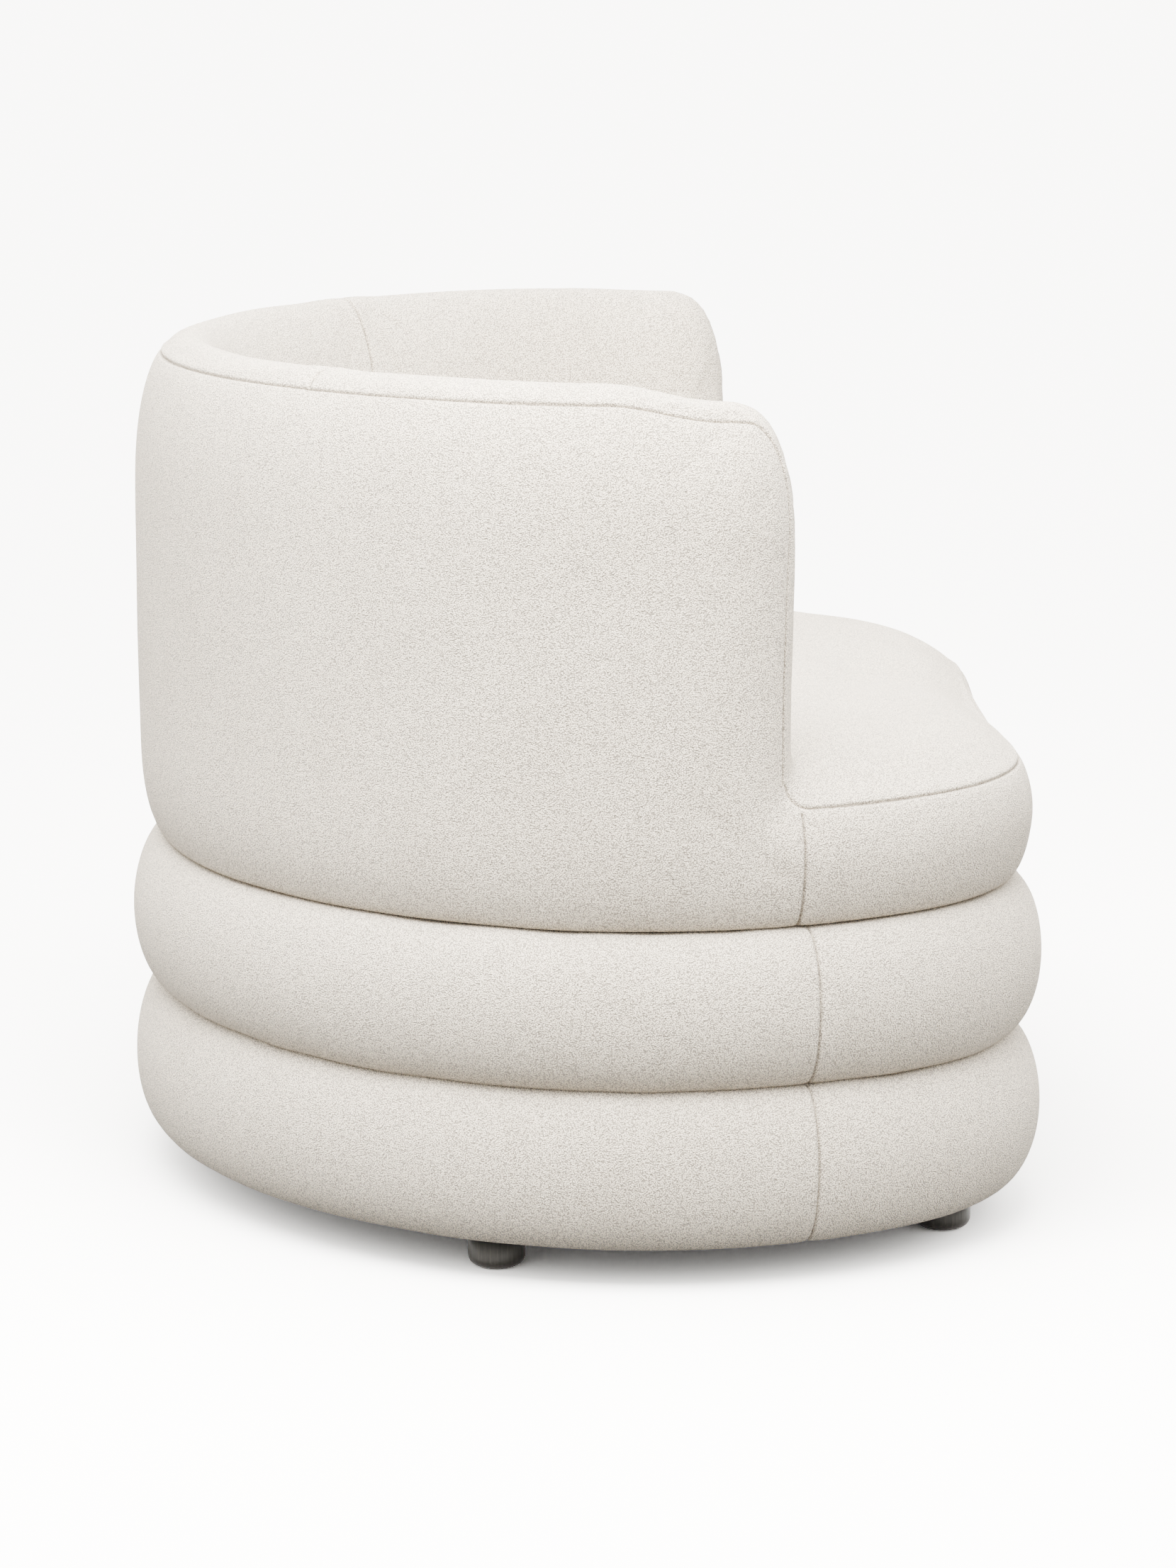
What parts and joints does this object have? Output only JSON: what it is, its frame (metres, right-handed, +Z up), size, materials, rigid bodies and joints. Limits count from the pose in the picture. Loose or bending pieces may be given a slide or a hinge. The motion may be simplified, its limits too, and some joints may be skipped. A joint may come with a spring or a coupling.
{
  "type": "upholstered armchair",
  "caption": "Round barrel-back armchair in off-white boucle, with a tight domed seat, a rounded rim and two stuffed rolls round its base on small round feet.",
  "frame": {"origin": "on the floor, under the middle of the bounding box", "axes": "+Z up, the open front of the seat faces -Y, +X towards the arm on the right of somebody facing the chair"},
  "size_m": [1.0036, 0.7918, 0.7403],
  "materials": {
    "boucle": "off-white looped boucle, matte",
    "foam": "open-cell seat foam, matte",
    "wadding": "bonded fibre wadding",
    "plywood": "bare birch plywood",
    "hardwood": "bare sawn hardwood",
    "webbing": "woven elastic webbing",
    "lining": "black non-woven dust cover",
    "stained_wood": "dark stained wood, satin lacquer",
    "glide": "moulded plastic glide",
    "steel": "zinc-plated steel"
  },
  "bodies": {
    "root": {"arm_board_left": "plywood", "arm_board_right": "plywood", "arm_nose_foam_left": "foam", "arm_nose_foam_right": "foam", "back_rib_1": "hardwood", "back_rib_2": "hardwood", "back_rib_3": "hardwood", "back_rib_4": "hardwood", "back_rib_5": "hardwood", "back_shell": "plywood", "base_ring": "plywood", "base_skirt": "plywood", "bottom_roll_cover_front": "boucle", "bottom_roll_cover_rear": "boucle", "bottom_roll_foam": "foam", "dust_cover": "lining", "foot_1": "stained_wood", "foot_2": "stained_wood", "foot_3": "stained_wood", "foot_4": "stained_wood", "foot_5": "stained_wood", "foot_bolt_1": "steel", "foot_bolt_2": "steel", "foot_bolt_3": "steel", "foot_bolt_4": "steel", "foot_bolt_5": "steel", "glide_1": "glide", "glide_2": "glide", "glide_3": "glide", "glide_4": "glide", "glide_5": "glide", "inner_back_cover_centre": "boucle", "inner_back_cover_left": "boucle", "inner_back_cover_right": "boucle", "inner_back_foam": "foam", "middle_ring": "plywood", "middle_roll_cover_front": "boucle", "middle_roll_cover_rear": "boucle", "middle_roll_foam": "foam", "outer_back_cover": "boucle", "outer_wadding": "wadding", "post_1": "hardwood", "post_2": "hardwood", "post_3": "hardwood", "post_4": "hardwood", "post_5": "hardwood", "post_6": "hardwood", "rim_foam": "foam", "seat_border_cover": "boucle", "seat_foam": "foam", "seat_ring": "plywood", "seat_top_cover": "boucle", "top_rail": "plywood", "webbing_cross_1": "webbing", "webbing_cross_2": "webbing", "webbing_cross_3": "webbing", "webbing_long_1": "webbing", "webbing_long_2": "webbing", "webbing_long_3": "webbing"}
  },
  "joints": []
}
